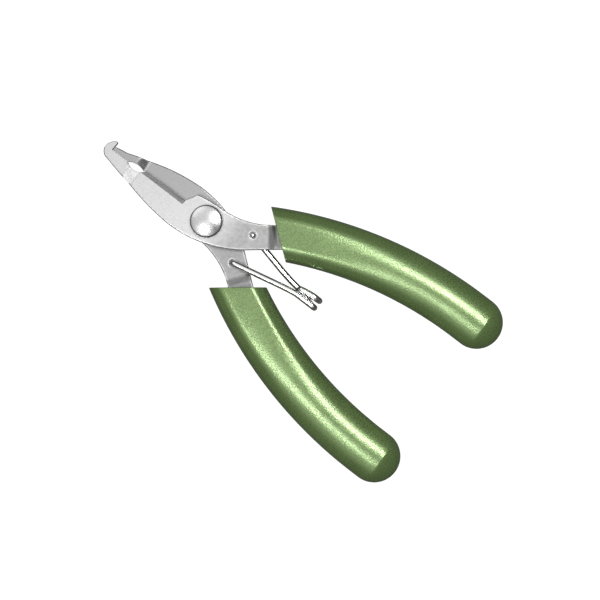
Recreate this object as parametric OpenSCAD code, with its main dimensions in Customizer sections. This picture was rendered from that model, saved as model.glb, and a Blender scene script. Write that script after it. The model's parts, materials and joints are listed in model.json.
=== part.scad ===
// Spring-opened split-ring and line-cutting pliers for fishing.
// Two stamped steel levers cross at one rivet. Each lever is a jaw, a hub and a tang in one plate,
// and each tang is pushed into a curved plastic grip. A looped wire spring holds the grips apart.
// Millimetres, +Y towards the nose, +Z out of the domed rivet head, standing on the flat of the grips.

/* [Levers] */
// Thickness of each steel plate
plate_t = 2.2; // [1.6:0.1:2.6]
// Running gap between the two plates
plate_gap = 0.1; // [0.06:0.02:0.2]
// Widest reach of a jaw's back from the centre line
jaw_half_w = 7.35; // [6.8:0.05:8]
// Pivot to the far end of the toothless jaw
jaw_reach = 34.2; // [33:0.1:36]
// Gap between the closed jaws
jaw_gap = 0.1; // [0.06:0.02:0.2]
// Height of the ring-opening tooth above the other jaw's end
tooth_h = 2.4; // [1.8:0.1:3]
// Overlap of a cutting edge past the centre line
edge_overlap = 1.05; // [0.8:0.05:1.3]
// Width of the tang
tang_w = 7.1; // [6:0.1:8]
// Angle between a tang and the centre line
tang_angle = 38.5; // [37:0.5:40]

/* [Rivet] */
// Diameter of the rivet's shank
shank_d = 5; // [4:0.1:5.5]
// Diameter of the domed head
head_d = 9.5; // [8.5:0.1:10]
// Height of the domed head
head_h = 2.3; // [1.8:0.1:2.6]
// Diameter of the washer under the formed tail
washer_d = 8.4; // [7.5:0.1:9]
// Thickness of that washer
washer_t = 0.8; // [0.6:0.1:1]

/* [Spring] */
// Diameter of the spring wire
wire_d = 1.8; // [1.6:0.05:1.85]
// Distance from the pivot to the tips of the spring's fold
fold_reach = 40.8; // [40:0.1:42]

/* [Grips] */
// Width of a grip
grip_w = 15.3; // [14.5:0.1:16]
// Thickness of a grip
grip_t = 10; // [9.6:0.1:12]
// Radius of the grip's curved centre line
grip_r = 123.3; // [120:0.1:126]
// Distance of the grip's rear end behind the pivot
grip_reach = 87.5; // [86:0.5:90]
// Half the distance between the grips' centre lines at their rear end
grip_half_span = 24.4; // [23:0.1:26]

/* [Hidden] */
$fn = 96;

// Clearances
running_fit = 0.05;
shank_seat = 0.02;
grip_seat = 0.04;

// Heights of a plate: its flat middle, and its ends, which are bent to lie on the middle plane
plate_lo = plate_gap / 2;
plate_hi = plate_lo + plate_t;
end_hi = plate_t / 2;
bend_drop = plate_hi - end_hi;
tall = 4 * plate_t;

// Where the flat middle begins along the jaw and along the tang, and where the plates bend
jaw_start = -10.5;
tang_start = 1;
front_bend = [24, 27.4];
rear_bend = [23.5, 26.4];
tang_bend = [17.7, 19.9];

// Jaw geometry
tooth_gap = 0.15;
tooth_in_r = jaw_reach + tooth_gap;
tooth_top = jaw_reach + tooth_h;
contact_x = -0.1;
bevel_top_x = -0.3;
edge_land = 1.6;
edge_foot_y = 8.6;
hub_corner = [4.7, 6.4];

// The tang's line away from the pivot, and its left and right edges
tang_dir = [sin(tang_angle), -cos(tang_angle)];
tang_side = [cos(tang_angle), sin(tang_angle)];
tang_mid = -4.95;
tang_meets_grip = 24.2;
tang_knuckle = 0.1;

// The grip's curve: its centre, the straight run before its round end, and its open mouth
grip_y = -77;
grip_centre = [grip_half_span - grip_r, grip_y];
end_y = -(grip_reach - grip_w / 2);
mouth_outer = [15.1, -11.7];
mouth_inner = [4.5, -25.4];
grip_sweep = 32;
tang_sweep = [4, 26.9];

// Rivet heights
head_base = plate_hi + running_fit;
head_rim = 0.25;
washer_top = -plate_hi - running_fit;
washer_base = washer_top - washer_t;
tail_d = 6.6;
tail_h = 1.2;

// Spring holes, and the heights of the spring's arms and of its stacked runs
spring_hole = [5, -13.1];
hole_d = wire_d + 0.1;
elbow_r = 1.1;
arm_z = plate_lo + wire_d / 2 + 0.02;
run_z = wire_d + 0.1;
fold_near = 34.2;
wire_sides = 12;

// The whole tool is moved so that its footprint is centred and its grips rest on the ground
y_shift = (grip_reach - tooth_top) / 2;
z_shift = grip_t / 2;

// ---- Helpers ----

// Points on an arc from p to q that swells by sag to the left of its run; q itself is left out
function bow(p, q, sag, n = 8) =
    let (d = q - p, len = norm(d), left = [-d[1], d[0]] / len, mid = (p + q) / 2,
         r = (len * len / 4 + sag * sag) / (2 * abs(sag)), side = sign(sag),
         centre = mid + left * (sag - side * r), half = asin(min(1, len / 2 / r)))
    [for (i = [0 : n - 1])
        let (a = half * (2 * i / n - 1))
        centre + r * (d / len * sin(a) + left * side * cos(a))];

// Point at a distance along the tang and to its side
function on_tang(along, side) = tang_dir * along + tang_side * side;

// Lays the parts on the ground with their footprint centred
module placed() {
    translate([0, y_shift, z_shift]) children();
}

// Turns a front piece over, about the nose line, into its rear twin
module turned_over() {
    rotate([0, 180, 0]) children();
}

// ---- Levers ----

// Outline from the tang round the hub to the foot of the cutting edge
function hub_points() = concat(
    [on_tang(tang_meets_grip, tang_mid + tang_w / 2)],
    bow(on_tang(19.6, tang_mid + tang_w / 2), [5.6, -0.9], 1.35),
    bow([5.6, -0.9], hub_corner, -0.15, 4),
    [hub_corner, [2, 7.9], [edge_overlap, edge_foot_y]]);

// Back of the jaw from the widest point down to the tang
function back_points(wide) = concat(
    bow(wide, on_tang(10.4, tang_mid - tang_w / 2), -1.95, 12),
    [on_tang(10.4, tang_mid - tang_w / 2), on_tang(tang_meets_grip, tang_mid - tang_w / 2)]);

// Front jaw: cutting edge, round relief, flat gripping edge, tooth and back
module front_outline() {
    edge_end = [0.75, 22.7];
    inner_x = contact_x - jaw_gap / 2;
    wide = [-jaw_half_w, 9];
    bend_back = [-5, 24.5];
    tip_back = [-3.05, 34];
    tooth_root = [-0.8, tooth_top + 0.05];
    tooth_brow = [1.75, tooth_top - 0.8];
    tooth_end = [2.6, tooth_in_r + 0.3];
    tooth_heel_a = asin(2.35 / tooth_in_r);
    inner_a = asin(inner_x / tooth_in_r);
    polygon(concat(
        hub_points(),
        bow([edge_overlap, edge_foot_y], edge_end, -0.2, 6),
        bow(edge_end, [inner_x, 28.8], 1.4, 10),
        [[inner_x, 28.8]],
        [for (i = [0 : 5])
            let (a = inner_a + (tooth_heel_a - inner_a) * i / 5)
            tooth_in_r * [sin(a), cos(a)]],
        [tooth_end],
        bow(tooth_end, tooth_brow, -0.1, 3),
        bow(tooth_brow, tooth_root, -0.3, 5),
        bow(tooth_root, tip_back, -0.62, 8),
        bow(tip_back, bend_back, -0.12, 4),
        bow(bend_back, wide, -0.4, 8),
        back_points(wide)));
}

// Rear jaw, drawn as seen from its own side: narrower, with a plain end instead of the tooth
module rear_outline() {
    edge_end = [0.9, 21.6];
    inner_x = -contact_x - jaw_gap / 2;
    wide = [-jaw_half_w + 0.35, 7.5];
    bend_back = [-3.65, 24.3];
    tip_back = [-1.8, 30.3];
    end_a = [asin(inner_x / jaw_reach), asin(-0.85 / jaw_reach)];
    polygon(concat(
        hub_points(),
        bow([edge_overlap, edge_foot_y], edge_end, -0.2, 6),
        bow(edge_end, [inner_x, 28.8], 1.35, 10),
        [[inner_x, 28.8]],
        [for (i = [0 : 2])
            let (a = end_a[0] + (end_a[1] - end_a[0]) * i / 2)
            jaw_reach * [sin(a), cos(a)]],
        bow([-1.15, jaw_reach - 0.35], tip_back, -0.05, 3),
        bow(tip_back, bend_back, -0.1, 4),
        bow(bend_back, wide, -0.65, 10),
        back_points(wide)));
}

// The bent plate beyond a start line, along the direction at an angle from the nose, and all before it
module bend_along(angle, start, bend) {
    far = 60;
    back = far + start;
    rotate([0, 0, angle]) {
        rotate([90, 0, 90]) linear_extrude(height = 2 * far, center = true)
            polygon([[start, plate_hi], [bend[0], plate_hi], [bend[1], end_hi], [far, end_hi],
                     [far, -end_hi], [bend[1], -end_hi], [bend[0], plate_lo], [start, plate_lo]]);
        translate([-far, -far, -tall]) cube([2 * far, back, 2 * tall]);
    }
}

// The tang's curved length inside the grip, wider and thicker all round by grow
module tang_end(grow) {
    thick = plate_t + 2 * grow;
    half = tang_w / 2 + grow;
    translate([0, 0, -thick / 2]) {
        translate(grip_centre) rotate([0, 0, tang_sweep[0]])
            rotate_extrude(angle = tang_sweep[1] - tang_sweep[0])
                translate([grip_r - half, 0]) square([2 * half, thick]);
        translate(on_tang(tang_meets_grip, tang_mid)) cylinder(r = half + tang_knuckle, h = thick);
    }
}

// The pocket that the tang is pressed into, open at the grip's mouth
module tang_pocket() {
    half = tang_w / 2 + grip_seat;
    thick = plate_t + 2 * grip_seat;
    tang_end(grip_seat);
    rotate([0, 0, tang_angle - 90]) translate([tang_bend[0], tang_mid - half, -thick / 2])
        cube([tang_meets_grip - tang_bend[0], 2 * half, thick]);
}

// The wedge that grinds the cutting edge
module edge_bevel() {
    slope_run = edge_overlap - bevel_top_x;
    slope_rise = plate_t - edge_land;
    translate([0, 26.5, 0]) rotate([90, 0, 0]) linear_extrude(height = 26.5 - edge_foot_y + 0.1)
        polygon([[edge_overlap, plate_lo + edge_land],
                 [edge_overlap + slope_run, plate_lo + edge_land],
                 [edge_overlap + slope_run, plate_hi + slope_rise],
                 [bevel_top_x - slope_run, plate_hi + slope_rise]]);
}

// One lever: the outline cut from plate, bent twice, bored and ground, with its tang's end
module lever(bend, bore) {
    difference() {
        union() {
            intersection() {
                translate([0, 0, -tall / 2]) linear_extrude(height = tall) children();
                bend_along(0, jaw_start, bend);
                bend_along(180 + tang_angle, tang_start, tang_bend);
            }
            tang_end(0);
        }
        translate([0, 0, -tall]) cylinder(d = bore, h = 2 * tall);
        translate([spring_hole[0], spring_hole[1], -tall]) cylinder(d = hole_d, h = 2 * tall);
        edge_bevel();
    }
}

module front_lever() {
    bore = shank_d + 2 * running_fit;
    color("gainsboro") placed() lever(front_bend, bore) front_outline();
}

module rear_lever() {
    bore = shank_d + 2 * shank_seat;
    color("silver") placed() turned_over() lever(rear_bend, bore) rear_outline();
}

// ---- Pivot ----

// A low dome of a given diameter and height on a thin straight rim
module dome(d, h, rim) {
    cap = h - rim;
    r = (d * d / 4 + cap * cap) / (2 * cap);
    cylinder(d = d, h = rim);
    intersection() {
        translate([0, 0, h - r]) sphere(r = r);
        translate([0, 0, rim / 2]) cylinder(d = d, h = h);
    }
}

module pivot_rivet() {
    color("lightgray") placed() {
        translate([0, 0, head_base]) dome(head_d, head_h, head_rim);
        translate([0, 0, washer_base - 0.1]) cylinder(d = shank_d, h = head_base - washer_base + 0.2);
        translate([0, 0, washer_base - shank_seat]) mirror([0, 0, 1]) dome(tail_d, tail_h, head_rim);
    }
}

module rivet_washer() {
    color("darkgray") placed() difference() {
        translate([0, 0, washer_base]) cylinder(d = washer_d, h = washer_t);
        translate([0, 0, washer_base - 1]) cylinder(d = shank_d + 2 * shank_seat, h = washer_t + 2);
    }
}

// ---- Spring ----

// A half turn in the upright plane of the wire: from height z0 round to z1, drifting sideways
function half_turn(x0, x1, y, bulge, z0, z1, n = 8) =
    [for (i = [0 : n])
        [x0 + (x1 - x0) * i / n,
         y + bulge * abs(z0 - z1) / 2 * sin(180 * i / n),
         (z0 + z1) / 2 + (z0 - z1) / 2 * cos(180 * i / n)]];

// The bend from a wire standing in a hole to an arm that leaves for a point, on the side of height z
function elbow(hole, to, z, n = 5) =
    let (d = (to - hole) / norm(to - hole))
    [for (i = [0 : n])
        let (a = 90 * i / n, at = hole + d * elbow_r * (1 - cos(a)))
        [at[0], at[1], z - sign(z) * elbow_r * (1 - sin(a))]];

// The wire's route from the rear lever's hole, twice over the folded end, to the front lever's hole
rear_arm_end = [-0.85, -32];
front_arm_end = [0.35, -33];
fold_tip = -(fold_reach - wire_d / 2);
rear_hole = [-spring_hole[0], spring_hole[1]];
front_elbow = elbow(spring_hole, front_arm_end, -arm_z);
spring_route = concat(
    [[rear_hole[0], rear_hole[1], -plate_hi]],
    elbow(rear_hole, rear_arm_end, arm_z),
    [[rear_arm_end[0], rear_arm_end[1], run_z], [-0.83, -35, run_z]],
    half_turn(-0.83, -0.83, fold_tip + run_z / 2, -1, run_z, 0),
    half_turn(0.5, 1.15, -fold_near, 1, 0, run_z),
    [[1.5, -36, run_z]],
    half_turn(1.68, 1.6, fold_tip + run_z, -1, run_z, -run_z),
    [[front_arm_end[0], front_arm_end[1], -run_z]],
    [for (i = [len(front_elbow) - 1 : -1 : 0]) front_elbow[i]],
    [[spring_hole[0], spring_hole[1], plate_hi]]);

// Direction of the route at its point i
function heading(route, i) =
    let (a = route[max(i - 1, 0)], b = route[min(i + 1, len(route) - 1)]) (b - a) / norm(b - a);

// The ring of the wire's surface points round its point i
function wire_ring(route, i) =
    let (t = heading(route, i), across = [1, 0, 0] - t * t[0], u = across / norm(across), v = cross(t, u))
    [for (k = [0 : wire_sides - 1])
        let (a = 360 * k / wire_sides) route[i] + wire_d / 2 * (cos(a) * u + sin(a) * v)];

module wire(route) {
    n = len(route);
    last = (n - 1) * wire_sides;
    polyhedron(
        points = [for (i = [0 : n - 1]) each wire_ring(route, i)],
        faces = concat(
            [[for (k = [0 : wire_sides - 1]) k]],
            [for (i = [0 : n - 2]) for (k = [0 : wire_sides - 1])
                let (a = i * wire_sides + k, b = i * wire_sides + (k + 1) % wire_sides)
                [a, a + wire_sides, b + wire_sides, b]],
            [[for (k = [wire_sides - 1 : -1 : 0]) last + k]]));
}

module return_spring() {
    color("gray") placed() wire(spring_route);
}

// ---- Grips ----

// Half of the grip's section: a flat, a slope, a shoulder and a narrow side, mirrored below
module half_section() {
    w = grip_w / 2;
    t = grip_t / 2;
    polygon([[0, -t], [0.47 * w, -t], [0.84 * w, -0.76 * t], [w, -0.3 * t],
             [w, 0.3 * t], [0.84 * w, 0.76 * t], [0.47 * w, t], [0, t]]);
}

module grip_section() {
    half_section();
    mirror([1, 0]) half_section();
}

// A curved grip with a round rear end, a slanted mouth and a pocket for the tang
module grip() {
    mouth_run = mouth_outer - mouth_inner;
    mouth_angle = atan2(mouth_run[1], mouth_run[0]);
    difference() {
        union() {
            translate(grip_centre)
                rotate_extrude(angle = grip_sweep) translate([grip_r, 0]) grip_section();
            translate([grip_half_span, grip_y, 0]) rotate([90, 0, 0])
                linear_extrude(height = grip_y - end_y) grip_section();
            translate([grip_half_span, end_y, 0]) rotate([0, 0, 180])
                rotate_extrude(angle = 180) half_section();
        }
        translate(mouth_inner) rotate([0, 0, mouth_angle])
            translate([-20, 0, -grip_t]) cube([60, 40, 2 * grip_t]);
        tang_pocket();
    }
}

module front_grip() {
    color("olivedrab") placed() grip();
}

module rear_grip() {
    color("darkolivegreen") placed() turned_over() grip();
}

front_lever();
rear_lever();
pivot_rivet();
rivet_washer();
return_spring();
front_grip();
rear_grip();
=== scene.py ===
"""Looks of the spring-opened fishing pliers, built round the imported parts.

Two stamped steel levers cross at one rivet, a folded wire spring holds them apart, and each tang ends
in a curved moulded grip. Everything is in metres in the parts' own frame: +Y towards the nose, +Z out
of the rivet's domed head. Sizes held by the classes are in millimetres from the pivot.
"""

import json
import logging
import math
from collections.abc import Callable, Sequence
from dataclasses import dataclass
from enum import Enum

import bmesh
import bpy
from mathutils import Matrix, Vector

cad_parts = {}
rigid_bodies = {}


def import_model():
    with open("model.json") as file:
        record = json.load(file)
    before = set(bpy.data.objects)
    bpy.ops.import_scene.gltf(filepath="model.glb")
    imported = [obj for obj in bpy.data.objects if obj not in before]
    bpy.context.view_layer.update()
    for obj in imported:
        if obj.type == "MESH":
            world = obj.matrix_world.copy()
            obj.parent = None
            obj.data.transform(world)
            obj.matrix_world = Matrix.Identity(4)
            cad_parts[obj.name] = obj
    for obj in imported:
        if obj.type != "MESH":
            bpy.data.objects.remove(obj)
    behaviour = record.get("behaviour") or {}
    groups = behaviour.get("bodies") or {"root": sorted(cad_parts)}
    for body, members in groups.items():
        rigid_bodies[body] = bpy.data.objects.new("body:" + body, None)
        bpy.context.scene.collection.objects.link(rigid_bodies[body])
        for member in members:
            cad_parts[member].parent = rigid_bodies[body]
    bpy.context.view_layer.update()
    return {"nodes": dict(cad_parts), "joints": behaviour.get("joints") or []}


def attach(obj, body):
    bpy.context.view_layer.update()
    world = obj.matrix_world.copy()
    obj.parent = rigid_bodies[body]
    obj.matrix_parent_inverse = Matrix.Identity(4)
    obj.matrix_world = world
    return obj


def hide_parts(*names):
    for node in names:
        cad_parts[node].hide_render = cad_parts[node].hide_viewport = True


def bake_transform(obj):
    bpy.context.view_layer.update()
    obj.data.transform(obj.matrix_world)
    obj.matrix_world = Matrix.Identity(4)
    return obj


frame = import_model()

LOG = logging.getLogger("pliers")
MM = 0.001
MERGE = 2e-7
PIVOT = Vector(frame["joints"][0]["pos_m"])
PARENT_BODY = frame["joints"][0]["parent"]
CHILD_BODY = frame["joints"][0]["child"]


# ---- Shared helpers ----


def at_pivot(x: float, y: float, z: float = 0.0) -> Vector:
    """Point of the row frame, in metres, from millimetres counted from the pivot."""
    return PIVOT + Vector((x, y, z)) * MM


def steps(first: float, last: float, count: int) -> list[float]:
    """Evenly spaced values from first to last, both included, in count steps."""
    return [first + (last - first) * i / count for i in range(count + 1)]


def soft_min(a: float, b: float, reach: float) -> float:
    """The lower of two values, with the corner between them rounded over a reach."""
    overlap = max(reach - abs(a - b), 0.0) / reach
    return min(a, b) - overlap * overlap * reach / 4


def mix(a: float, b: float, share: float) -> float:
    """Value that lies a share of the way from a to b."""
    return a + (b - a) * share


def ease(share: float) -> float:
    """A share from 0 to 1 that starts and ends gently."""
    share = min(max(share, 0.0), 1.0)
    return share * share * (3 - 2 * share)


class Side(Enum):
    """Which half of the tool a piece belongs to; the rear half is the front one turned over."""

    FRONT = 1
    REAR = -1

    @property
    def body(self) -> str:
        """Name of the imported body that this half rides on."""
        return CHILD_BODY if self is Side.FRONT else PARENT_BODY

    def place(self, x: float, y: float, z: float) -> Vector:
        """Row-frame point of a piece's own point, turned over about the nose line for the rear half."""
        return at_pivot(self.value * x, y, self.value * z)

    def own(self, point: Vector) -> Vector:
        """A piece's own point, in millimetres from the pivot, for a row-frame point."""
        away = (point - PIVOT) / MM
        return Vector((self.value * away.x, away.y, self.value * away.z))


def finished_piece(name: str, form: bmesh.types.BMesh, material: bpy.types.Material) -> bpy.types.Object:
    """Turns a modelled form into a smooth-shaded piece in the scene.

    Args:
        name: Name of the piece.
        form: The modelled form, in place in the row frame; it is freed.
        material: Finish of the whole piece.

    Returns:
        The new object, at the origin, with its place in its mesh.
    """
    for face in form.faces:
        face.smooth = True
    mesh = bpy.data.meshes.new(name)
    form.to_mesh(mesh)
    form.free()
    mesh.materials.append(material)
    piece = bpy.data.objects.new(name, mesh)
    bpy.context.scene.collection.objects.link(piece)
    return piece


def weigh_normals(piece: bpy.types.Object) -> None:
    """Keeps large flat faces flat to the eye next to their rounded edges."""
    level = piece.modifiers.new("level_flats", "WEIGHTED_NORMAL")
    level.mode = "FACE_AREA_WITH_ANGLE"
    level.keep_sharp = True


def spun_form(profile: Sequence[tuple[float, float]], closed: bool, turns: int) -> bmesh.types.BMesh:
    """Spins a profile once round the pivot's axis.

    Args:
        profile: Radius and height pairs, in millimetres.
        closed: True if the last point joins the first one, False if both ends lie on the axis.
        turns: Number of steps of the full turn.

    Returns:
        The closed form with its faces outward.
    """
    form = bmesh.new()
    points = [form.verts.new(at_pivot(radius, 0.0, height)) for radius, height in profile]
    runs = [form.edges.new(pair) for pair in zip(points, points[1:])]
    if closed:
        runs.append(form.edges.new((points[-1], points[0])))
    bmesh.ops.spin(
        form,
        geom=points + runs,
        cent=PIVOT,
        axis=(0, 0, 1),
        angle=math.tau,
        steps=turns,
        use_merge=True,
    )
    bmesh.ops.remove_doubles(form, verts=form.verts, dist=MERGE)
    bmesh.ops.recalc_face_normals(form, faces=form.faces)
    return form


def rolled_form(rows: int, around: int, place: Callable[[int, float], Vector]) -> bmesh.types.BMesh:
    """Rolls a flat sheet of faces into a closed sleeve whose first and last rows shrink to points.

    Args:
        rows: Number of face rows along the sleeve.
        around: Number of faces round it.
        place: Gives the row-frame point for a row's number and an angle round the sleeve.

    Returns:
        The closed form with its faces outward.
    """
    half = 0.5
    form = bmesh.new()
    bmesh.ops.create_grid(form, x_segments=around, y_segments=rows, size=half)
    for vert in form.verts:
        angle = math.tau * round((vert.co.x + half) * around) / around
        row = round((vert.co.y + half) * rows)
        vert.co = place(row, angle % math.tau)
    bmesh.ops.remove_doubles(form, verts=form.verts, dist=MERGE)
    bmesh.ops.recalc_face_normals(form, faces=form.faces)
    return form


# ---- Finishes ----


Value = float | tuple[float, ...] | bpy.types.NodeSocket


class Wiring:
    """A shader node tree being wired."""

    def __init__(self, tree: bpy.types.NodeTree) -> None:
        """Takes the tree to wire and clears it."""
        self.tree = tree
        tree.nodes.clear()

    def feed(self, socket: bpy.types.NodeSocket, value: Value) -> None:
        """Links an input to another node's output, or sets its constant."""
        if isinstance(value, bpy.types.NodeSocket):
            self.tree.links.new(value, socket)
        else:
            socket.default_value = value

    def add(
        self, kind: str, inputs: dict[str | int, Value] | None = None, **settings: object
    ) -> bpy.types.Node:
        """Adds a node.

        Args:
            kind: The node's type without its ShaderNode prefix.
            inputs: Constants and links for its input sockets.
            settings: Its own settings.

        Returns:
            The new node.
        """
        node = self.tree.nodes.new(f"ShaderNode{kind}")
        for name, value in settings.items():
            setattr(node, name, value)
        for name, value in (inputs or {}).items():
            self.feed(node.inputs[name], value)
        return node

    def math(self, operation: str, *values: Value) -> bpy.types.NodeSocket:
        """Output of a Math node."""
        return self.add("Math", dict(enumerate(values)), operation=operation).outputs[0]

    def spread(
        self, value: Value, low: float, high: float, to_low: float, to_high: float
    ) -> bpy.types.NodeSocket:
        """A value mapped smoothly from one range to another and held inside it."""
        inputs = {"Value": value, "From Min": low, "From Max": high, "To Min": to_low, "To Max": to_high}
        return self.add("MapRange", inputs, interpolation_type="SMOOTHSTEP").outputs[0]

    def blend(self, share: Value, first: Value, second: Value) -> bpy.types.NodeSocket:
        """Colour mixed from two others."""
        node = self.add("Mix", {0: share, 6: first, 7: second}, data_type="RGBA")
        return node.outputs[2]

    def group(self, tree: bpy.types.NodeTree, inputs: dict[str | int, Value]) -> bpy.types.Node:
        """Places a node group with its own values."""
        node = self.tree.nodes.new("ShaderNodeGroup")
        node.node_tree = tree
        for name, value in inputs.items():
            self.feed(node.inputs[name], value)
        return node


def shader_group(
    name: str, inputs: dict[str, float], outputs: Sequence[str]
) -> tuple[Wiring, dict[str, object]]:
    """Starts a node group with float sockets.

    Args:
        name: Name of the group.
        inputs: Input names with their defaults.
        outputs: Output names.

    Returns:
        The group's wiring, and its input sockets by name together with its output node under "out".
    """
    tree = bpy.data.node_groups.new(name, "ShaderNodeTree")
    for label, default in inputs.items():
        socket = tree.interface.new_socket(label, in_out="INPUT", socket_type="NodeSocketFloat")
        socket.default_value = default
    for label in outputs:
        tree.interface.new_socket(label, in_out="OUTPUT", socket_type="NodeSocketFloat")
    wiring = Wiring(tree)
    entry = tree.nodes.new("NodeGroupInput")
    ends: dict[str, object] = {label: entry.outputs[label] for label in inputs}
    ends["out"] = tree.nodes.new("NodeGroupOutput")
    return wiring, ends


def make_grain_group() -> bpy.types.NodeTree:
    """Cloudy tone and fine height that tumbling leaves on steel and a spark-eroded mould on plastic."""
    wiring, ends = shader_group("surface_grain", {"Grain Size": 0.4, "Cloud Size": 2.0}, ("Cloud", "Grain"))
    place = wiring.add("TexCoord").outputs["Object"]
    fine = wiring.math("DIVIDE", 1 / MM, ends["Grain Size"])
    coarse = wiring.math("DIVIDE", 1 / MM, ends["Cloud Size"])
    grain = wiring.add("TexNoise", {"Vector": place, "Scale": fine, "Detail": 2.0, "Roughness": 0.6})
    cloud = wiring.add("TexNoise", {"Vector": place, "Scale": coarse, "Detail": 4.0, "Roughness": 0.65})
    wiring.feed(ends["out"].inputs["Cloud"], wiring.spread(cloud.outputs[0], 0.34, 0.66, 0.0, 1.0))
    wiring.feed(ends["out"].inputs["Grain"], wiring.spread(grain.outputs[0], 0.3, 0.7, 0.0, 1.0))
    return wiring.tree


def make_painted_rim_highlight_group() -> bpy.types.NodeTree:
    """Mask of the rounded rims, where a near-white highlight is painted into the steel's colour in place of
    their bright reflection.
    """
    wiring, ends = shader_group("painted_rim_highlight_edges", {"Reach": 0.5, "Amount": 1.0}, ("Mask",))
    reach = wiring.math("MULTIPLY", ends["Reach"], MM)
    rounded = wiring.add("Bevel", {"Radius": reach}, samples=4).outputs["Normal"]
    true = wiring.add("NewGeometry").outputs["Normal"]
    facing = wiring.add("VectorMath", {0: rounded, 1: true}, operation="DOT_PRODUCT").outputs["Value"]
    mask = wiring.spread(facing, 0.985, 0.90, 0.0, 1.0)
    wiring.feed(ends["out"].inputs["Mask"], wiring.math("MULTIPLY", mask, ends["Amount"]))
    return wiring.tree


GRAIN = make_grain_group()
PAINTED_RIM_HIGHLIGHT = make_painted_rim_highlight_group()


def new_material(name: str) -> tuple[bpy.types.Material, Wiring]:
    """A material with an empty node tree to wire."""
    material = bpy.data.materials.new(name)
    material.use_nodes = True
    return material, Wiring(material.node_tree)


@dataclass(frozen=True)
class SteelFinish:
    """Bare steel: its tones, how mirror-like it is, the grain left on it, and a near-white highlight painted
    along its rims.
    """

    name: str
    light: tuple[float, float, float]
    dark: tuple[float, float, float]
    smooth: float
    rough: float
    grain_size: float
    cloud_size: float
    grain_depth: float
    # Strength of the highlight painted along the rims, which stands in for their reflection of the bright
    # room.
    painted_rim_highlight: float
    tang_tone: float = 1.0
    tang_haze: float = 0.0
    fade: tuple[float, float] = (-11.0, 3.0)
    # Where the painted rim highlight fades out towards the nose, in mm from the pivot.
    painted_rim_highlight_fade: tuple[float, float] = (4.5, 7.5)

    def material(self) -> bpy.types.Material:
        """Builds the finish as a material."""
        material, wiring = new_material(self.name)
        sizes = {"Grain Size": self.grain_size, "Cloud Size": self.cloud_size}
        grain = wiring.group(GRAIN, sizes).outputs
        # Mask of the rims, where a near-white highlight is painted into the colour.
        edge = wiring.group(PAINTED_RIM_HIGHLIGHT, {"Reach": 1.0, "Amount": self.painted_rim_highlight}).outputs["Mask"]
        half_cloud = wiring.math("MULTIPLY", grain["Cloud"], 0.5)
        half_grain = wiring.math("MULTIPLY", grain["Grain"], 0.5)
        mottle = wiring.math("ADD", half_cloud, half_grain)
        place = wiring.add("TexCoord").outputs["Object"]
        along = wiring.add("SeparateXYZ", {0: place}).outputs["Y"]
        near, far = (PIVOT.y + reach * MM for reach in self.fade)
        polish = wiring.spread(along, near, far, self.tang_tone, 1.0)
        plain = wiring.blend(mottle, (*self.dark, 1.0), (*self.light, 1.0))
        tone = wiring.add("VectorMath", {0: plain, "Scale": polish}, operation="SCALE").outputs[0]
        # Painted highlight: along the rims the base colour turns near-white in place of their reflection of
        # the bright room; it fades out from 4.5 to 7.5 mm nose-wards of the pivot, so the jaws have none.
        begin, gone = (PIVOT.y + reach * MM for reach in self.painted_rim_highlight_fade)
        painted_rim_highlight_share = wiring.math("MULTIPLY", edge, wiring.spread(along, begin, gone, 1.0, 0.0))
        colour = wiring.blend(painted_rim_highlight_share, tone, (0.95, 0.95, 0.95, 1.0))
        haze = wiring.spread(along, near, far, self.tang_haze, 0.0)
        gloss = wiring.math("ADD", wiring.spread(mottle, 0.0, 1.0, self.rough, self.smooth), haze)
        depth = self.grain_depth * MM
        bump = wiring.add("Bump", {"Height": grain["Grain"], "Distance": depth, "Strength": 1.0})
        shader = wiring.add(
            "BsdfPrincipled",
            {"Base Color": colour, "Metallic": 1.0, "Roughness": gloss, "Normal": bump.outputs[0]},
        )
        wiring.add("OutputMaterial", {"Surface": shader.outputs[0]})
        return material


@dataclass(frozen=True)
class GripFinish:
    """Moulded green plastic with a pearly, sandy skin."""

    name: str = "moulded_green"
    light: tuple[float, float, float] = (0.168, 0.262, 0.088)
    dark: tuple[float, float, float] = (0.146, 0.232, 0.076)
    pearl: float = 0.50
    smooth: float = 0.20
    rough: float = 0.36
    grain_size: float = 0.42
    cloud_size: float = 9.0
    grain_depth: float = 0.013

    def material(self) -> bpy.types.Material:
        """Builds the finish as a material."""
        material, wiring = new_material(self.name)
        sizes = {"Grain Size": self.grain_size, "Cloud Size": self.cloud_size}
        grain = wiring.group(GRAIN, sizes).outputs
        colour = wiring.blend(grain["Cloud"], (*self.dark, 1.0), (*self.light, 1.0))
        gloss = wiring.spread(grain["Grain"], 0.0, 1.0, self.rough, self.smooth)
        depth = self.grain_depth * MM
        bump = wiring.add("Bump", {"Height": grain["Grain"], "Distance": depth, "Strength": 1.0})
        shader = wiring.add(
            "BsdfPrincipled",
            {
                "Base Color": colour,
                "Metallic": self.pearl,
                "Roughness": gloss,
                "Normal": bump.outputs[0],
                "IOR": 1.5,
                "Coat Weight": 0.55,
                "Coat Roughness": 0.22,
                "Coat Normal": bump.outputs[0],
            },
        )
        wiring.add("OutputMaterial", {"Surface": shader.outputs[0]})
        return material


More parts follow.
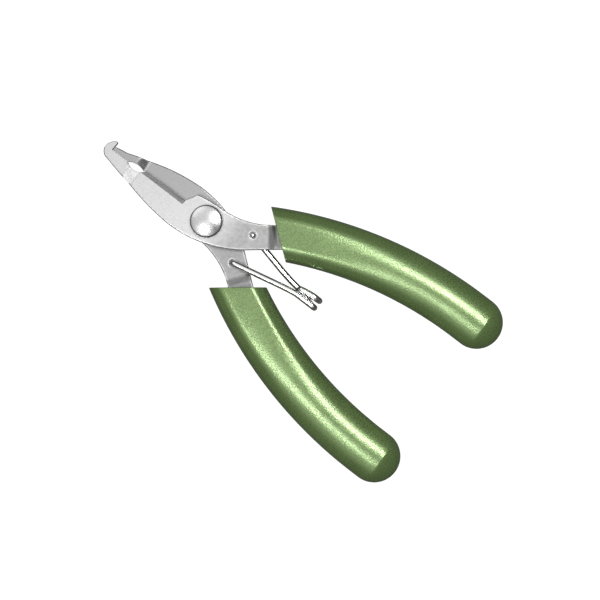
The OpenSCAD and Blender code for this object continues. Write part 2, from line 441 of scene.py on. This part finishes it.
FRONT_STEEL = SteelFinish(
    name="front_plate_steel",
    light=(0.60, 0.60, 0.60),
    dark=(0.50, 0.50, 0.50),
    smooth=0.26,
    rough=0.36,
    grain_size=0.28,
    cloud_size=1.4,
    grain_depth=0.005,
    painted_rim_highlight=0.8,
    tang_tone=0.62,
    tang_haze=0.24,
)
REAR_STEEL = SteelFinish(
    name="rear_plate_steel",
    light=(0.37, 0.37, 0.37),
    dark=(0.30, 0.30, 0.30),
    smooth=0.28,
    rough=0.38,
    grain_size=0.28,
    cloud_size=1.2,
    grain_depth=0.005,
    painted_rim_highlight=0.6,
    tang_tone=0.80,
    tang_haze=0.12,
)
RIVET_STEEL = SteelFinish(
    name="rivet_polished_steel",
    light=(0.56, 0.56, 0.56),
    dark=(0.47, 0.47, 0.47),
    smooth=0.25,
    rough=0.36,
    grain_size=0.35,
    cloud_size=1.1,
    grain_depth=0.006,
    painted_rim_highlight=0.0,
)
WASHER_STEEL = SteelFinish(
    name="washer_steel",
    light=(0.58, 0.58, 0.58),
    dark=(0.44, 0.44, 0.44),
    smooth=0.30,
    rough=0.45,
    grain_size=0.3,
    cloud_size=1.0,
    grain_depth=0.005,
    painted_rim_highlight=0.5,
)
WIRE_STEEL = SteelFinish(
    name="spring_wire_steel",
    light=(0.90, 0.90, 0.90),
    dark=(0.78, 0.78, 0.78),
    smooth=0.12,
    rough=0.20,
    grain_size=0.3,
    cloud_size=1.0,
    grain_depth=0.001,
    painted_rim_highlight=0.0,
)


# ---- Levers ----


class Rounding(Enum):
    """How an edge of a stamped lever is eased, in the order the work is done: size in mm, segments."""

    JAW_BEND = (0.7, 4)
    TANG_BEND = (0.6, 4)
    BACK = (0.35, 4)
    TOOTH = (0.3, 3)
    HOLE = (0.2, 2)
    EDGE = (0.09, 2)

    @property
    def size(self) -> float:
        """Width of the eased band on each face, in millimetres."""
        return self.value[0]

    @property
    def segments(self) -> int:
        """Number of faces across the eased band."""
        return self.value[1]


@dataclass
class Lever:
    """One stamped lever: jaw, hub and tang in one bent plate, deburred and tumbled."""

    side: Side
    name: str
    node: str
    slot: str
    finish: SteelFinish
    sharp_turn: float = 50.0
    bend_turn: float = 10.0
    upright_share: float = 0.9
    across_share: float = 0.9
    level_run: float = 0.05
    ground_tilt: float = 0.3
    ground_height: float = 0.5
    ground_area: float = 4e-6
    face_tilt: float = 0.6
    inner_x: float = -1.2
    inner_y: float = 5.6
    tooth_y: float = 34.85
    bore_reach: float = 3.0
    hole: tuple[float, float] = (5.0, -13.1)
    hole_reach: float = 1.4
    flat_angle: float = 0.4

    def kind_of(self, edge: bmesh.types.BMEdge) -> Rounding | None:
        """How an edge is eased, or None where it stays.

        Args:
            edge: An edge of the plate's form.

        Returns:
            The rounding for it.
        """
        if len(edge.link_faces) != 2:
            return None
        turn = math.degrees(edge.calc_face_angle(0.0))
        a, b = (self.side.own(vert.co) for vert in edge.verts)
        run = (b - a).normalized()
        middle = (a + b) / 2
        if abs(run.z) > self.upright_share:
            return None
        flats = [abs(face.normal.z) > self.face_tilt for face in edge.link_faces]
        if all(flats) and turn < self.sharp_turn:
            if turn < self.bend_turn or abs(run.z) > self.level_run:
                return None
            if middle.y < 0:
                return Rounding.TANG_BEND
            return Rounding.JAW_BEND if abs(run.x) > self.across_share else None
        if turn < self.sharp_turn:
            return None
        at_bore = math.hypot(middle.x, middle.y) < self.bore_reach
        at_hole = math.hypot(middle.x - self.hole[0], middle.y - self.hole[1]) < self.hole_reach
        if at_hole:
            return Rounding.HOLE
        if at_bore:
            return Rounding.EDGE
        if middle.y > self.inner_y and middle.x > self.inner_x:
            return Rounding.TOOTH if middle.y > self.tooth_y else Rounding.EDGE
        return Rounding.BACK

    def form(self) -> bmesh.types.BMesh:
        """The plate with its bends eased and its edges rounded, kind by kind."""
        form = bmesh.new()
        form.from_mesh(frame["nodes"][self.node].data)
        bmesh.ops.remove_doubles(form, verts=form.verts, dist=MERGE)
        bmesh.ops.dissolve_limit(
            form, angle_limit=math.radians(self.flat_angle), verts=form.verts, edges=form.edges
        )
        for kind in Rounding:
            form.normal_update()
            chosen = [edge for edge in form.edges if self.kind_of(edge) is kind]
            LOG.info("%s: %d edges eased as %s", self.name, len(chosen), kind.name)
            if not chosen:
                continue
            bmesh.ops.bevel(
                form,
                geom=chosen,
                offset=kind.size * MM,
                offset_type="OFFSET",
                segments=kind.segments,
                profile=0.5,
                affect="EDGES",
                clamp_overlap=False,
                material=-1,
            )
        form.normal_update()
        for face in (face for face in form.faces if self.is_ground(face)):
            for edge in face.edges:
                edge.smooth = False
        return form

    def is_ground(self, face: bmesh.types.BMFace) -> bool:
        """Whether a face is a cutting edge's ground slope, which keeps crisp borders."""
        slopes = abs(face.normal.x) > self.ground_tilt and abs(face.normal.z) > self.ground_height
        return slopes and face.calc_area() > self.ground_area

    def build(self) -> bpy.types.Object:
        """Builds the lever and hands it to its body."""
        piece = finished_piece(self.name, self.form(), self.finish.material())
        weigh_normals(piece)
        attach(piece, self.side.body)
        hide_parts(self.node)
        return piece


# ---- Rivet and washer ----


def arc_profile(
    centre: tuple[float, float], radius: float, first: float, last: float, count: int
) -> list[tuple[float, float]]:
    """Points of an arc in a radius-height profile; angles are from the axis, in degrees."""
    return [
        (centre[0] + radius * math.sin(math.radians(a)), centre[1] + radius * math.cos(math.radians(a)))
        for a in steps(first, last, count)
    ]


@dataclass
class PivotRivet:
    """The solid rivet: a low polished head with a rolled rim, a shank and a peened tail."""

    name: str = "pivot_rivet_head"
    node: str = "pivot_rivet"
    slot: str = "rivet_steel"
    head_r: float = 4.75
    head_base: float = 2.30
    head_top: float = 4.60
    crown_r: float = 14.0
    rim_r: float = 0.7
    shank_r: float = 2.5
    tail_r: float = 3.3
    tail_top: float = -3.12
    tail_end: float = -4.32
    tail_band: float = 0.2
    turns: int = 96

    def profile(self) -> list[tuple[float, float]]:
        """Half of the rivet's outline, from the head's crown to the tail's end."""
        rim_turn = math.degrees(math.asin((self.head_r - self.rim_r) / (self.crown_r - self.rim_r)))
        crown = arc_profile((0.0, self.head_top - self.crown_r), self.crown_r, 0.0, rim_turn, 14)
        rim_centre = (
            self.head_r - self.rim_r,
            self.head_top - self.crown_r + (self.crown_r - self.rim_r) * math.cos(math.radians(rim_turn)),
        )
        rim = arc_profile(rim_centre, self.rim_r, rim_turn, 90.0, 8)[1:]
        foot = [(self.head_r, self.head_base + 0.15), (self.head_r - 0.15, self.head_base)]
        shank = [(self.shank_r, self.head_base), (self.shank_r, self.tail_top)]
        rise = self.tail_top - self.tail_end
        tail = [
            (
                self.tail_r * math.cos(math.radians(a)),
                self.tail_top - self.tail_band - (rise - self.tail_band) * math.sin(math.radians(a)),
            )
            for a in steps(0.0, 90.0, 10)
        ]
        return crown + rim + foot + shank + [(self.tail_r - 0.1, self.tail_top)] + tail

    def build(self) -> bpy.types.Object:
        """Builds the rivet and hands it to its body."""
        form = spun_form(self.profile(), closed=False, turns=self.turns)
        piece = finished_piece(self.name, form, RIVET_STEEL.material())
        weigh_normals(piece)
        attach(piece, Side.REAR.body)
        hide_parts(self.node)
        return piece


@dataclass
class RivetWasher:
    """The plain washer between the rear lever and the rivet's tail."""

    name: str = "rivet_washer_ring"
    node: str = "rivet_washer"
    slot: str = "washer_steel"
    outer_r: float = 4.2
    inner_r: float = 2.52
    top: float = -2.30
    base: float = -3.10
    chamfer: float = 0.12
    turns: int = 72

    def build(self) -> bpy.types.Object:
        """Builds the washer and hands it to its body."""
        c = self.chamfer
        outline = [
            (self.inner_r, self.top),
            (self.outer_r - c, self.top),
            (self.outer_r, self.top - c),
            (self.outer_r, self.base + c),
            (self.outer_r - c, self.base),
            (self.inner_r, self.base),
        ]
        form = spun_form(outline, closed=True, turns=self.turns)
        piece = finished_piece(self.name, form, WASHER_STEEL.material())
        weigh_normals(piece)
        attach(piece, Side.REAR.body)
        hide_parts(self.node)
        return piece


# ---- Return spring ----


@dataclass
class ReturnSpring:
    """The folded wire spring: an arm from each lever's hole and a double fold where they meet."""

    node: str = "return_spring"
    slot: str = "spring_wire"
    wire_r: float = 0.9
    hole: tuple[float, float] = (5.0, -13.1)
    plate_hi: float = 2.25
    arm_z: float = 0.97
    run_z: float = 1.9
    elbow_r: float = 1.1
    tip: float = -39.9
    near: float = -34.2
    rear_arm_end: tuple[float, float] = (-0.85, -32.0)
    front_arm_end: tuple[float, float] = (0.35, -33.0)
    fold_steps: int = 12

    def turn(self, x0: float, x1: float, y: float, bulge: float, z0: float, z1: float) -> list[Vector]:
        """Half a turn of wire on edge: from height z0 round to z1, drifting sideways."""
        middle, radius = (z0 + z1) / 2, (z0 - z1) / 2
        return [
            Vector(
                (
                    mix(x0, x1, t),
                    y + bulge * abs(radius) * math.sin(math.pi * t),
                    middle + radius * math.cos(math.pi * t),
                )
            )
            for t in steps(0.0, 1.0, self.fold_steps)
        ]

    def elbow(self, hole: Vector, to: Vector, z: float) -> list[Vector]:
        """The bend from the wire standing in a hole into an arm on the side of height z."""
        away = (to - hole).normalized()
        points = []
        for a in (math.radians(v) for v in steps(0.0, 90.0, 8)):
            at = hole + away * self.elbow_r * (1 - math.cos(a))
            height = z - math.copysign(self.elbow_r * (1 - math.sin(a)), z)
            points.append(Vector((at.x, at.y, height)))
        return points

    def lengths(self) -> dict[str, list[Vector]]:
        """The wire's route, cut where its outer turns stand upright, by piece name."""
        rear_hole = Vector((-self.hole[0], self.hole[1], 0.0))
        front_hole = Vector((*self.hole, 0.0))
        rear_end = Vector((*self.rear_arm_end, 0.0))
        front_end = Vector((*self.front_arm_end, 0.0))
        high = self.run_z
        first = self.turn(-0.83, -0.83, self.tip + high / 2, -1, high, 0.0)
        middle = self.turn(0.5, 1.15, self.near, 1, 0.0, high)
        last = self.turn(1.68, 1.6, self.tip + high, -1, high, -high)
        cut = self.fold_steps // 2
        rear_arm = [Vector((rear_hole.x, rear_hole.y, -self.plate_hi + 0.05))]
        rear_arm += self.elbow(rear_hole, rear_end, self.arm_z)
        rear_arm += [Vector((rear_end.x, rear_end.y, high)), Vector((-0.83, -35.0, high))] + first[: cut + 1]
        front_arm = last[cut:] + [Vector((front_end.x, front_end.y, -high))]
        front_arm += reversed(self.elbow(front_hole, front_end, -self.arm_z))
        front_arm += [Vector((front_hole.x, front_hole.y, self.plate_hi - 0.05))]
        return {
            "spring_rear_arm": rear_arm,
            "spring_fold": first[cut:] + middle + [Vector((1.5, -36.0, high))] + last[: cut + 1],
            "spring_front_arm": front_arm,
        }

    @staticmethod
    def eased(route: list[Vector], rounds: int) -> list[Vector]:
        """A route with its corners cut evenly, its ends kept."""
        for _ in range(rounds):
            inner = [p for a, b in zip(route, route[1:]) for p in (a.lerp(b, 0.25), a.lerp(b, 0.75))]
            route = [route[0]] + inner[1:-1] + [route[-1]]
        return route

    def wire(self, name: str, route: list[Vector], material: bpy.types.Material) -> bpy.types.Object:
        """A length of round wire along a route, as a mesh.

        Args:
            name: Name of the piece.
            route: Points of its centre line, in millimetres from the pivot.
            material: The wire's finish.

        Returns:
            The new piece.
        """
        curve = bpy.data.curves.new(f"{name}_line", "CURVE")
        curve.dimensions = "3D"
        curve.bevel_depth = self.wire_r * MM
        curve.bevel_resolution = 6
        curve.use_fill_caps = True
        spline = curve.splines.new("POLY")
        points = self.eased(route, 2)
        spline.points.add(len(points) - 1)
        for point, place in zip(spline.points, points):
            point.co = (*at_pivot(*place), 1.0)
        line = bpy.data.objects.new(f"{name}_line", curve)
        bpy.context.scene.collection.objects.link(line)
        mesh = bpy.data.meshes.new_from_object(line.evaluated_get(bpy.context.evaluated_depsgraph_get()))
        bpy.data.objects.remove(line)
        form = bmesh.new()
        form.from_mesh(mesh)
        bmesh.ops.remove_doubles(form, verts=form.verts, dist=MERGE)
        bmesh.ops.recalc_face_normals(form, faces=form.faces)
        for cut_end in (face for face in form.faces if len(face.verts) > 4):
            for edge in cut_end.edges:
                edge.smooth = False
        return finished_piece(name, form, material)

    def build(self) -> list[bpy.types.Object]:
        """Builds the three lengths of the wire."""
        material = WIRE_STEEL.material()
        rear_hole = at_pivot(-self.hole[0], self.hole[1])
        front_hole = at_pivot(*self.hole)
        tips = {
            "spring_rear_arm": at_pivot(-0.83, self.tip),
            "spring_front_arm": at_pivot(1.64, self.tip),
        }
        far = Vector((1.0, 0.0, 0.0))
        spans = {
            "spring_rear_arm": (rear_hole, rear_hole + 2 * (tips["spring_rear_arm"] - rear_hole)),
            "spring_fold": (at_pivot(0.0, self.tip) - far, at_pivot(0.0, self.tip) + far),
            "spring_front_arm": (front_hole + 2 * (tips["spring_front_arm"] - front_hole), front_hole),
        }
        made = []
        for name, route in self.lengths().items():
            piece = self.wire(name, route, material)
            start, end = spans[name]
            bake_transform(piece)
            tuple(start)
            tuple(end)
            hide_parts(self.node)
            made.append(piece)
        return made


# ---- Grips ----


class Zone(Enum):
    """Part of a grip's skin that a row of its points lies on."""

    POCKET = 0
    MOUTH = 1
    SLEEVE = 2
    RUN = 3
    CAP = 4


@dataclass
class Grip:
    """One curved grip: a slanted mouth with a socket for the tang, a faceted neck and a rounder rear."""

    side: Side
    name: str
    node: str
    slot: str = "grip_plastic"
    half_w: float = 7.65
    half_t: float = 5.0
    centre: tuple[float, float] = (-98.9, -77.0)
    radius: float = 123.3
    end_y: float = -79.83
    mouth_outer: tuple[float, float] = (15.1, -11.7)
    mouth_inner: tuple[float, float] = (4.5, -25.4)
    lip: float = 0.22
    tang_angle: float = 38.5
    tang_mid: float = -4.95
    tang_half_w: float = 3.6
    tang_half_t: float = 1.15
    tang_meets: float = 22.5
    socket_sweep: tuple[float, float] = (4.0, 26.0)
    rounder_after: float = 46.0
    crease_to_end: float = 5.8
    sleeve_rows: int = 60
    around: int = 112

    def rows(self) -> list[tuple[Zone, float]]:
        """The rows from the socket's floor out over the mouth to the rear end: zone and measure."""
        socket = [(Zone.POCKET, a) for a in [-1.0] + steps(self.socket_sweep[0], self.socket_sweep[1], 10)]
        socket += [(Zone.POCKET, 90.0), (Zone.POCKET, 180.0)]
        mouth = [(Zone.MOUTH, v) for v in (0.0, 18.0, 36.0, 54.0, 72.0, 90.0)]
        sleeve = [(Zone.SLEEVE, t) for t in steps(0.0, 1.0, self.sleeve_rows)[1:]]
        run = [(Zone.RUN, t) for t in (0.33, 0.66)]
        cap = [(Zone.CAP, b) for b in (0.0, 6.0, 11.0, 13.0, 14.0, 15.0, 17.0, 20.0)]
        cap += [(Zone.CAP, b) for b in steps(24.0, 90.0, 22)]
        return socket + mouth + sleeve + run + cap

    def crown(self, u: float, rounder: float) -> float:
        """Height of the section's surface at a place across it, both as shares of their largest.

        Args:
            u: Place across, from -1 to 1.
            rounder: 0 for the faceted neck, 1 for the rounder rear.

        Returns:
            The height, from 0 at the sides to 1 in the middle.
        """
        across = min(abs(u), 1.0)
        faceted = soft_min(1.0, 1.0 + (0.56 - across) * 1.0, 0.14)
        faceted = soft_min(faceted, 0.70 + (0.88 - across) * 3.4, 0.16)
        faceted = max(min(faceted, 1.5 * (1 - across**2) ** 0.5), 0.0)
        round_rear = (1 - across**1.9) ** 0.52
        return mix(faceted, round_rear, rounder)

    def mouth_angle(self, reach: float) -> float:
        """Angle about the grip's centre where the circle of a radius meets the mouth's line, in radians."""
        outer, inner = Vector(self.mouth_outer), Vector(self.mouth_inner)
        start, run = inner - Vector(self.centre), (outer - inner).normalized()
        along = start.dot(run)
        step = -along + math.sqrt(max(along * along - start.length_squared + reach * reach, 0.0))
        hit = start + run * step
        return math.atan2(hit.y, hit.x)

    def on_sleeve(self, angle: float, lap: float, inset: float, setback: float) -> Vector:
        """Point of the curved sleeve.

        Args:
            angle: Angle round the section.
            lap: Share of the way from the mouth to the straight run.
            inset: How far the section is drawn in, in millimetres.
            setback: Distance behind the mouth's plane, in millimetres.

        Returns:
            The point in the front half's own millimetres.
        """
        u = math.cos(angle)
        reach = self.radius + u * (self.half_w - inset)
        behind = self.mouth_angle(reach) - setback / reach
        turn = behind * (1 - lap)
        rounder = ease(turn_share(behind - turn, self.radius, self.rounder_after))
        height = math.copysign(self.crown(u, rounder) * (self.half_t - inset), math.sin(angle))
        across, along = reach * math.cos(turn), reach * math.sin(turn)
        return Vector((self.centre[0] + across, self.centre[1] + along, height))

    def on_socket(self, angle: float, measure: float) -> Vector:
        """Point of the socket's wall: its floor below 0, then degrees of the tang's curve, then its mouth."""
        corner = 2 / 9
        q = math.copysign(abs(math.cos(angle)) ** corner, math.cos(angle)) * self.tang_half_w
        z = math.copysign(abs(math.sin(angle)) ** corner, math.sin(angle)) * self.tang_half_t
        if measure < 0:
            q, z, measure = 0.0, 0.0, self.socket_sweep[0]
        if measure <= self.socket_sweep[1]:
            reach, turn = self.radius + q, math.radians(measure)
            across, along = reach * math.cos(turn), reach * math.sin(turn)
            return Vector((self.centre[0] + across, self.centre[1] + along, z))
        lean = math.radians(self.tang_angle)
        along = Vector((math.sin(lean), -math.cos(lean)))
        across = Vector((math.cos(lean), math.sin(lean)))
        start = across * (self.tang_mid + q)
        if measure < 180.0:
            at = start + along * self.tang_meets
        else:
            outer, inner = Vector(self.mouth_outer), Vector(self.mouth_inner)
            normal = Vector((inner.y - outer.y, outer.x - inner.x))
            at = start + along * ((inner - start).dot(normal) / along.dot(normal))
        return Vector((at.x, at.y, z))

    def on_end(self, angle: float, zone: Zone, measure: float) -> Vector:
        """Point of the straight run or of the sloping round cap."""
        u = math.cos(angle)
        middle = self.centre[0] + self.radius
        if zone is Zone.RUN:
            y, share_w, share_t = mix(self.centre[1], self.end_y, measure), 1.0, 1.0
        else:
            beta = math.radians(measure)
            to_end = self.half_w * (1 - math.sin(beta))
            y, share_w = self.end_y - self.half_w * math.sin(beta), math.cos(beta)
            past = max(self.crease_to_end - to_end, 0.0) / self.crease_to_end
            share_t = max(1 - past**1.35, 0.0) ** (1 / 1.9)
        height = math.copysign(self.crown(u, 1.0) * self.half_t * share_t, math.sin(angle))
        return Vector((middle + u * self.half_w * share_w, y, height))

    def place(self, rows: list[tuple[Zone, float]], row: int, angle: float) -> Vector:
        """Row-frame point of the grip's skin for a row's number and an angle round it."""
        zone, measure = rows[row]
        if zone is Zone.POCKET:
            own = self.on_socket(angle, measure)
        elif zone is Zone.MOUTH:
            turn = math.radians(measure)
            own = self.on_sleeve(angle, 0.0, self.lip * (1 - math.sin(turn)), self.lip * (1 - math.cos(turn)))
        elif zone is Zone.SLEEVE:
            own = self.on_sleeve(angle, measure, 0.0, self.lip)
        else:
            own = self.on_end(angle, zone, measure)
        return self.side.place(*own)

    def build(self, material: bpy.types.Material) -> bpy.types.Object:
        """Builds the grip and hands it to its body."""
        rows = self.rows()
        form = rolled_form(len(rows) - 1, self.around, lambda row, angle: self.place(rows, row, angle))
        piece = finished_piece(self.name, form, material)
        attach(piece, self.side.body)
        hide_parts(self.node)
        return piece


def turn_share(turn: float, radius: float, distance: float) -> float:
    """Share of a distance that a turn about a radius has covered."""
    return turn * radius / distance


# ---- Studio ----


@dataclass(frozen=True)
class Lamp:
    """A soft panel light: its place as seen from above the tool, its size and its power."""

    name: str
    right: float
    up: float
    height: float
    width: float
    length: float
    power: float


@dataclass
class Studio:
    """The plain floor, the soft lights and the camera straight above."""

    turn: float = -52.5
    camera_at: tuple[float, float, float] = (-0.00157, -0.00979, 0.4883)
    lens: float = 100.0
    floor_size: float = 3.0
    dim: float = 0.10
    bright: float = 0.95
    bright_side: tuple[float, float] = (-0.98, 0.2)
    side_fade: tuple[float, float] = (-0.34, -0.08)
    height_fade: tuple[float, float] = (0.50, 0.80)
    floor_glow: float = 0.96
    floor_seen: float = 0.20
    floor_hidden: float = 0.12
    lamps: tuple[Lamp, ...] = (
        Lamp("right_panel", 0.21, 0.15, 0.60, 0.12, 0.12, 1.5),
        Lamp("lower_panel", -0.12, -0.19, 0.64, 0.13, 0.13, 1.0),
        Lamp("nose_panel", -0.38, 0.52, 0.58, 0.60, 0.50, 1.1),
    )

    def seen(self, right: float, up: float, height: float) -> Vector:
        """Row-frame point for a place to the right of and above the view's middle, at a height."""
        spin = Matrix.Rotation(math.radians(self.turn), 3, "Z")
        middle = Vector((self.camera_at[0], self.camera_at[1], 0.0))
        return middle + spin @ Vector((right, up, height))

    def build_camera(self) -> None:
        """Puts the camera straight above the tool, turned so that the nose points up and left."""
        data = bpy.data.cameras.new("camera")
        data.lens = self.lens
        data.clip_end = 10.0
        camera = bpy.data.objects.new("camera", data)
        camera.location = self.camera_at
        camera.rotation_euler = (0.0, 0.0, math.radians(self.turn))
        bpy.context.scene.collection.objects.link(camera)
        bpy.context.scene.camera = camera

    def build_lamps(self) -> None:
        """Hangs the soft lights round the tool, all facing it."""
        middle = self.seen(0.0, 0.0, 0.0)
        for lamp in self.lamps:
            data = bpy.data.lights.new(lamp.name, "AREA")
            data.shape = "RECTANGLE"
            data.size, data.size_y = lamp.width, lamp.length
            data.energy = lamp.power
            light = bpy.data.objects.new(lamp.name, data)
            light.location = self.seen(lamp.right, lamp.up, lamp.height)
            away = light.location - middle
            light.rotation_euler = away.to_track_quat("Z", "Y").to_euler()
            light.visible_camera = False
            bpy.context.scene.collection.objects.link(light)

    def build_floor(self) -> None:
        """Lays the pale floor that the tool rests on."""
        form = bmesh.new()
        bmesh.ops.create_grid(form, x_segments=1, y_segments=1, size=self.floor_size / 2)
        material, wiring = new_material("pale_floor")
        bright = wiring.add("Emission", {"Color": (1.0, 1.0, 1.0, 1.0), "Strength": self.floor_glow})
        matt = wiring.add("BsdfDiffuse", {"Color": (*[self.floor_seen] * 3, 1.0)})
        plain = wiring.add("BsdfDiffuse", {"Color": (*[self.floor_hidden] * 3, 1.0)})
        lit = wiring.add("AddShader", {0: bright.outputs[0], 1: matt.outputs[0]})
        seen = wiring.add("LightPath").outputs["Is Camera Ray"]
        both = wiring.add("MixShader", {0: seen, 1: plain.outputs[0], 2: lit.outputs[0]})
        wiring.add("OutputMaterial", {"Surface": both.outputs[0]})
        finished_piece("studio_floor", form, material)

    def build_surround(self) -> None:
        """Fills the room with even dim light, behind which the camera sees plain white."""
        world = bpy.data.worlds.new("studio_room")
        world.use_nodes = True
        wiring = Wiring(world.node_tree)
        seen = wiring.add("LightPath").outputs["Is Camera Ray"]
        towards = wiring.add("TexCoord").outputs["Generated"]
        bright_side = self.seen(*self.bright_side, 0.0) - self.seen(0.0, 0.0, 0.0)
        facing = wiring.add("VectorMath", {0: towards, 1: tuple(bright_side)}, operation="DOT_PRODUCT")
        height = wiring.add("SeparateXYZ", {0: towards}).outputs["Z"]
        side = wiring.spread(facing.outputs["Value"], *self.side_fade, 0.0, 1.0)
        above = wiring.spread(height, *self.height_fade, 0.0, 1.0)
        share = wiring.math("MULTIPLY", side, above)
        canopy = wiring.math("MULTIPLY_ADD", share, self.bright - self.dim, self.dim)
        level = wiring.math("MAXIMUM", canopy, seen)
        glow = wiring.add("Background", {"Color": (1.0, 1.0, 1.0, 1.0), "Strength": level})
        wiring.add("OutputWorld", {"Surface": glow.outputs[0]})
        bpy.context.scene.world = world
        bpy.context.scene.view_settings.view_transform = "Standard"

    def build(self) -> None:
        """Builds the whole studio."""
        self.build_camera()
        self.build_lamps()
        self.build_floor()
        self.build_surround()


# ---- The tool ----


def main() -> None:
    """Builds every piece in order and reports it."""
    logging.basicConfig(level=logging.INFO, format="%(name)s: %(message)s")
    Studio().build()
    levers = (
        Lever(Side.FRONT, "front_lever_plate", "front_lever", "front_steel", FRONT_STEEL),
        Lever(Side.REAR, "rear_lever_plate", "rear_lever", "rear_steel", REAR_STEEL),
    )
    made = [lever.build() for lever in levers]
    made.append(PivotRivet().build())
    made.append(RivetWasher().build())
    made.extend(ReturnSpring().build())
    plastic = GripFinish().material()
    made.append(Grip(Side.FRONT, "front_grip_sleeve", "front_grip").build(plastic))
    made.append(Grip(Side.REAR, "rear_grip_sleeve", "rear_grip").build(plastic))
    for piece in made:
        LOG.info("%s: %d faces", piece.name, len(piece.data.polygons))


if __name__ == "__main__":
    main()
